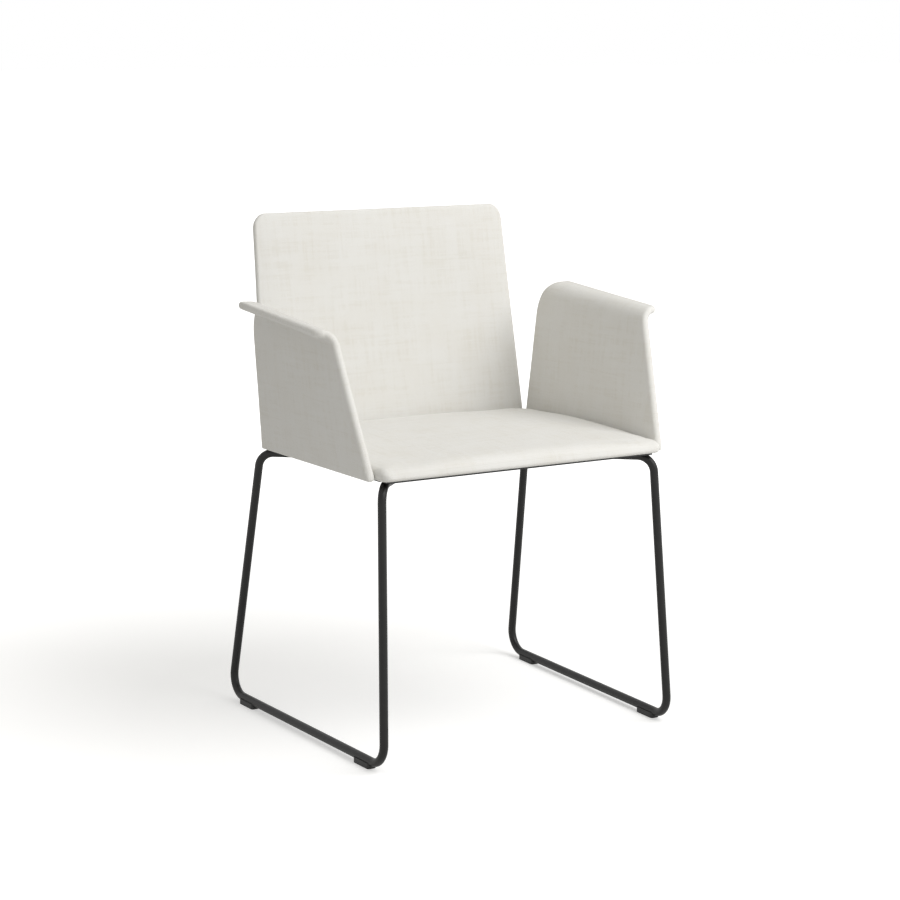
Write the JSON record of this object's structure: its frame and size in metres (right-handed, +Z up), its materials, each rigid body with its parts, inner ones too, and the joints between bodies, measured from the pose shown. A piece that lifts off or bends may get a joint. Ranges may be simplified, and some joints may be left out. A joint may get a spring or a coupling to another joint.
{
  "type": "sled base visitor chair",
  "caption": "Visitor chair on a bent round-bar sled frame, with a fabric seat pad, a leaning fabric back and folded wing-like arms.",
  "frame": {"origin": "on the floor under the middle of the overall bounding box", "axes": "+Z up, -Y the way the sitter faces, +X to the right as seen from the front"},
  "size_m": [0.606, 0.4856, 0.7843],
  "materials": {
    "upholstery_fabric": "fine plain weave, off-white with a warm grey cast",
    "foam": "open-cell foam",
    "moulded_plywood": "plain sanded",
    "frame_paint": "satin black powder coat",
    "black_plastic": "matte",
    "zinc_steel": "zinc plated"
  },
  "bodies": {
    "root": {"arm_screws": "zinc_steel", "back_core": "moulded_plywood", "back_foam": "foam", "back_screws": "zinc_steel", "back_upholstery": "upholstery_fabric", "board_screws": "zinc_steel", "cover_screws": "zinc_steel", "front_arm_hoop": "zinc_steel", "front_left_glide": "black_plastic", "front_right_glide": "black_plastic", "left_arm_core": "moulded_plywood", "left_arm_foam": "foam", "left_arm_upholstery": "upholstery_fabric", "left_back_bar": "zinc_steel", "left_sled_loop": "frame_paint", "plate_screws": "zinc_steel", "plate_washers": "zinc_steel", "rear_arm_hoop": "zinc_steel", "rear_left_glide": "black_plastic", "rear_right_glide": "black_plastic", "right_arm_core": "moulded_plywood", "right_arm_foam": "foam", "right_arm_upholstery": "upholstery_fabric", "right_back_bar": "zinc_steel", "right_sled_loop": "frame_paint", "seat_board": "moulded_plywood", "seat_foam": "foam", "seat_mounting_plate": "frame_paint", "seat_upholstery": "upholstery_fabric", "tee_nuts": "zinc_steel", "under_seat_cover": "black_plastic"}
  },
  "joints": []
}
